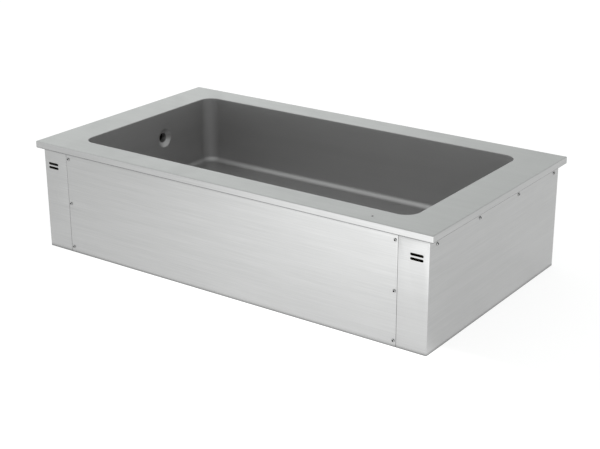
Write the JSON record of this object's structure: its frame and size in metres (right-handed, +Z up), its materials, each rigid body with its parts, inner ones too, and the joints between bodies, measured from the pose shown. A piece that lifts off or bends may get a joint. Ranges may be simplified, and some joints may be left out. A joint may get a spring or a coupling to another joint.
{
  "type": "drop in food well",
  "caption": "Drop-in heated food well: folded stainless rim, deep coved basin with overflow and drain valve, closed casing with removable panels.",
  "frame": {"origin": "middle of the casing's underside", "axes": "+X along the length to the right end, +Y to the back, +Z up"},
  "size_m": [1.165, 0.65, 0.286],
  "materials": {
    "brushed_sheet": "satin brushed stainless sheet, grain along the length",
    "basin_sheet": "drawn stainless, satin walls and coved floor",
    "zinc_frame": "zinc-plated steel, dull and slightly blue",
    "fastener_steel": "plain stainless fasteners",
    "element_sheath": "heat-darkened element sheath",
    "mineral_wool": "pressed mineral wool",
    "cast_brass": "turned and cast brass, unpolished",
    "polished_steel": "polished stainless",
    "grip_vinyl": "dipped vinyl, satin",
    "hose_rubber": "black rubber, matt",
    "black_plastic": "moulded black plastic",
    "pale_plastic": "moulded pale plastic",
    "reset_plastic": "red moulded plastic",
    "wire_sleeve": "heat-proof glass-fibre sleeve"
  },
  "bodies": {
    "casing": {"top_rim": "brushed_sheet", "front_panel": "brushed_sheet", "back_panel": "brushed_sheet", "left_end_cover": "brushed_sheet", "right_end_cover": "brushed_sheet", "basin": "basin_sheet", "base_plate": "zinc_frame", "front_left_post": "zinc_frame", "front_right_post": "zinc_frame", "back_left_post": "zinc_frame", "back_right_post": "zinc_frame", "left_floor_rail": "zinc_frame", "right_floor_rail": "zinc_frame", "heater_clamp_plate": "zinc_frame", "control_bracket": "zinc_frame", "upper_hose_clamp": "fastener_steel", "lower_hose_clamp": "fastener_steel", "front_panel_screw_1": "fastener_steel", "front_panel_screw_2": "fastener_steel", "front_panel_screw_3": "fastener_steel", "front_panel_screw_4": "fastener_steel", "front_panel_screw_5": "fastener_steel", "front_panel_screw_6": "fastener_steel", "back_panel_screw_1": "fastener_steel", "back_panel_screw_2": "fastener_steel", "back_panel_screw_3": "fastener_steel", "back_panel_screw_4": "fastener_steel", "back_panel_screw_5": "fastener_steel", "back_panel_screw_6": "fastener_steel", "left_end_screw_1": "fastener_steel", "left_end_screw_2": "fastener_steel", "left_end_screw_3": "fastener_steel", "left_end_screw_4": "fastener_steel", "right_end_screw_1": "fastener_steel", "right_end_screw_2": "fastener_steel", "right_end_screw_3": "fastener_steel", "right_end_screw_4": "fastener_steel", "left_heater": "element_sheath", "middle_heater": "element_sheath", "right_heater": "element_sheath", "wall_insulation": "mineral_wool", "floor_insulation": "mineral_wool", "drain_flange": "cast_brass", "drain_backnut": "cast_brass", "drain_elbow": "cast_brass", "drain_tee": "cast_brass", "valve_body": "cast_brass", "sensor_bulb": "polished_steel", "overflow_hose": "hose_rubber", "limit_thermostat": "black_plastic", "cable_gland": "black_plastic", "terminal_block": "pale_plastic", "heater_loom": "wire_sleeve"},
    "strainer": {"drain_strainer": "polished_steel"},
    "valve_handle": {"valve_ball": "polished_steel", "valve_stem": "cast_brass", "valve_lever": "zinc_frame", "lever_grip": "grip_vinyl", "lever_nut": "zinc_frame"},
    "reset": {"reset_button": "reset_plastic"}
  },
  "joints": [
    {"name": "strainer_lift", "type": "slide", "parent": "casing", "child": "strainer", "axis": [0, 0, 1], "range_m": [0, 0.22]},
    {"name": "lever_turn", "type": "hinge", "parent": "casing", "child": "valve_handle", "pos_m": [-0.425, 0, 0.0162], "axis": [0, 0, -1], "range_deg": [0, 90]},
    {"name": "reset_push", "type": "slide", "parent": "casing", "child": "reset", "axis": [-1, 0, 0], "range_m": [0, 0.0025], "stiffness_N_per_m": 800, "springref_m": -0.0015}
  ]
}
